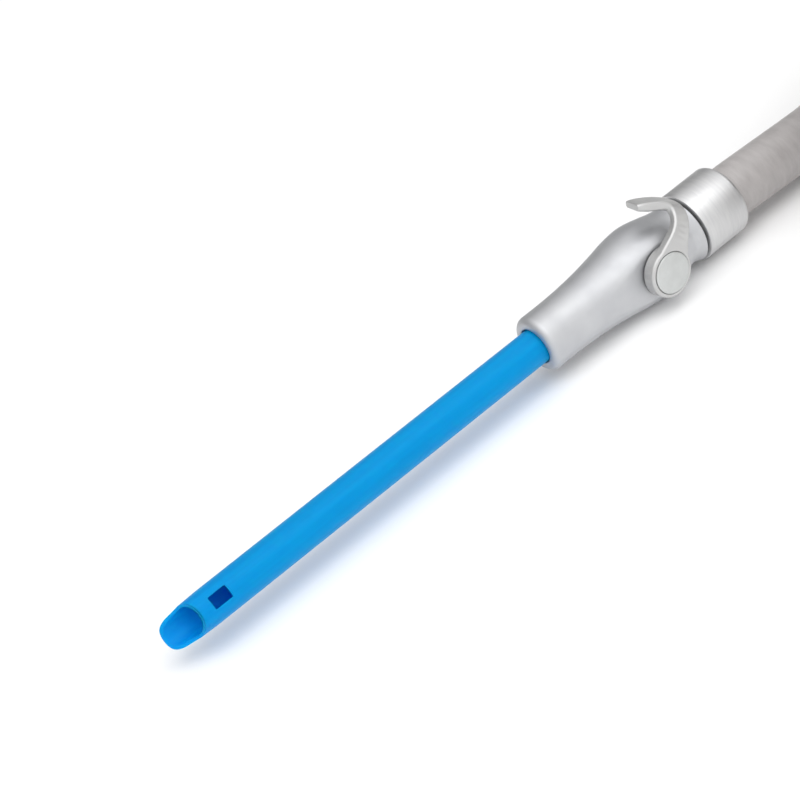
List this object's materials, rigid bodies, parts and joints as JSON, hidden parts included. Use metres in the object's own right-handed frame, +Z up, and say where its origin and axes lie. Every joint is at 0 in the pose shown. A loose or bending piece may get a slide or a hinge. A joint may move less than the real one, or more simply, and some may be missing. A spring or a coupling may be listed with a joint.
{
  "type": "dental suction tip with rotary-valve handpiece and hose",
  "caption": "Blue vented suction tip in a satin metal rotary-valve handpiece with a side lever, swivel collar, grey hose and plug.",
  "frame": {"origin": "under the middle of the tip and handpiece, on the plane they and the hose lie on", "axes": "+X along the flow from the tip's mouth to the hose, +Z up from the table, -Y to the side with the lever's hub"},
  "size_m": [0.5207, 0.1415, 0.0574],
  "materials": {
    "blue_polypropylene": "injection-moulded blue polypropylene, half gloss",
    "satin_aluminium": "blasted and clear-anodised aluminium",
    "lever_satin_metal": "die-cast, tumbled and matt",
    "cap_satin_metal": "turned face, matt",
    "collar_anodised": "finely turned and clear-anodised",
    "stainless_steel": "turned stainless steel",
    "white_ptfe": "skived sheet, waxy",
    "black_rubber": "moulded seal rubber",
    "grey_vinyl": "extruded smooth-bore vinyl hose, half matt",
    "grey_abs": "moulded plastic, fine texture",
    "strap_fabric": "woven hook-and-loop strap"
  },
  "bodies": {
    "hose_side": {"hose_tailpiece": "stainless_steel", "swivel_seal": "black_rubber", "swivel_collar": "collar_anodised", "hose_end": "grey_vinyl", "suction_hose": "grey_vinyl", "hose_hank": "grey_vinyl", "hank_tie_front": "strap_fabric", "hank_tie_back": "strap_fabric", "connector_cuff": "black_rubber", "canister_connector": "grey_abs", "connector_seal": "black_rubber"},
    "handpiece": {"handpiece_body": "satin_aluminium", "swivel_snap_ring": "stainless_steel", "spool_washer": "white_ptfe"},
    "valve": {"valve_spool": "stainless_steel", "spool_seal_lever_side": "black_rubber", "spool_seal_far_side": "black_rubber", "control_lever": "lever_satin_metal", "lever_screw": "stainless_steel", "lever_cap": "cap_satin_metal"},
    "tip_seals": {"tip_seal_front": "black_rubber", "tip_seal_rear": "black_rubber"},
    "tip": {"suction_tip": "blue_polypropylene"}
  },
  "joints": [
    {"name": "handpiece_swivel", "type": "hinge", "parent": "hose_side", "child": "handpiece", "pos_m": [0.089, 0.0016, 0.01205], "axis": [1, 0, 0], "continuous": true},
    {"name": "lever_turn", "type": "hinge", "parent": "handpiece", "child": "valve", "pos_m": [0.0711, 0.0016, 0.01205], "axis": [0, -1, 0], "range_deg": [0, 60]},
    {"name": "tip_turn", "type": "hinge", "parent": "handpiece", "child": "tip_seals", "pos_m": [0.0284, 0.0016, 0.01205], "axis": [1, 0, 0], "continuous": true},
    {"name": "tip_pull", "type": "slide", "parent": "tip_seals", "child": "tip", "axis": [-1, 0, 0], "range_m": [0, 0.03]}
  ]
}
